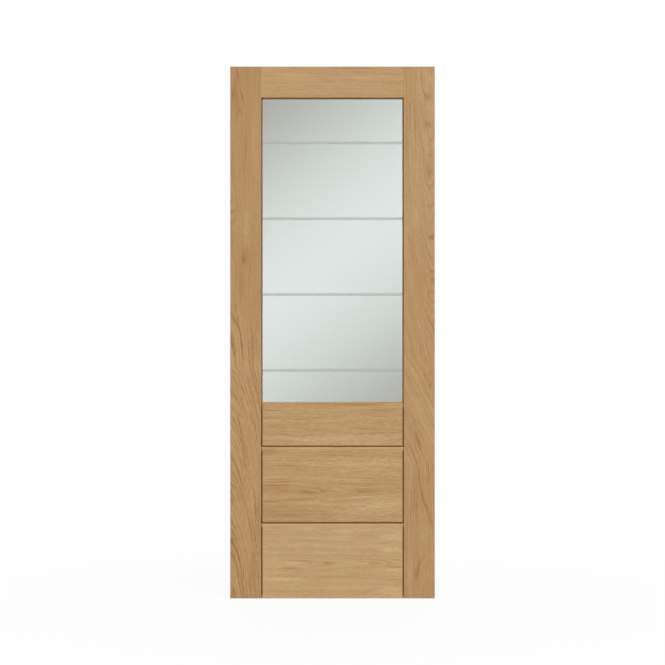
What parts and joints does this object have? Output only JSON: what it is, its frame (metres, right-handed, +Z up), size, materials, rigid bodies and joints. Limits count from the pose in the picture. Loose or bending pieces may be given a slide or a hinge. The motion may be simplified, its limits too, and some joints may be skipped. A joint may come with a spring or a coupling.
{
  "type": "glazed interior door",
  "caption": "Pale oak interior door leaf: clear glass with etched bands above, horizontal V-grooved boards below, between plain stiles.",
  "frame": {"origin": "foot of the hinge edge, at the middle of the leaf's thickness", "axes": "+X from the hinge edge to the latch edge, -Y out of the front face, +Z up along the leaf's height"},
  "size_m": [0.762, 0.035, 1.981],
  "materials": {
    "stile_veneer": "satin lacquered oak veneer, upright grain",
    "board_veneer": "satin lacquered oak veneer, level grain",
    "oak_lipping": "satin lacquered solid oak",
    "timber_core": "bare jointed softwood strips",
    "oak_bead": "satin lacquered solid oak",
    "pane_glass": "clear toughened glass, etched bands"
  },
  "bodies": {
    "root": {"left_stile_front_veneer": "stile_veneer", "left_stile_back_veneer": "stile_veneer", "left_stile_outer_lipping": "oak_lipping", "left_stile_inner_lipping": "oak_lipping", "left_stile_core": "timber_core", "right_stile_front_veneer": "stile_veneer", "right_stile_back_veneer": "stile_veneer", "right_stile_inner_lipping": "oak_lipping", "right_stile_outer_lipping": "oak_lipping", "right_stile_core": "timber_core", "bottom_board_front_veneer": "board_veneer", "bottom_board_back_veneer": "board_veneer", "bottom_board_lower_lipping": "oak_lipping", "bottom_board_upper_lipping": "oak_lipping", "bottom_board_core": "timber_core", "middle_board_front_veneer": "board_veneer", "middle_board_back_veneer": "board_veneer", "middle_board_lower_lipping": "oak_lipping", "middle_board_upper_lipping": "oak_lipping", "middle_board_core": "timber_core", "upper_board_front_veneer": "board_veneer", "upper_board_back_veneer": "board_veneer", "upper_board_lower_lipping": "oak_lipping", "upper_board_upper_lipping": "oak_lipping", "upper_board_core": "timber_core", "top_rail_front_veneer": "board_veneer", "top_rail_back_veneer": "board_veneer", "top_rail_lower_lipping": "oak_lipping", "top_rail_upper_lipping": "oak_lipping", "top_rail_core": "timber_core", "front_left_bead": "oak_bead", "front_right_bead": "oak_bead", "front_lower_bead": "oak_bead", "front_upper_bead": "oak_bead", "back_left_bead": "oak_bead", "back_right_bead": "oak_bead", "back_lower_bead": "oak_bead", "back_upper_bead": "oak_bead", "glass_pane": "pane_glass"}
  },
  "joints": []
}
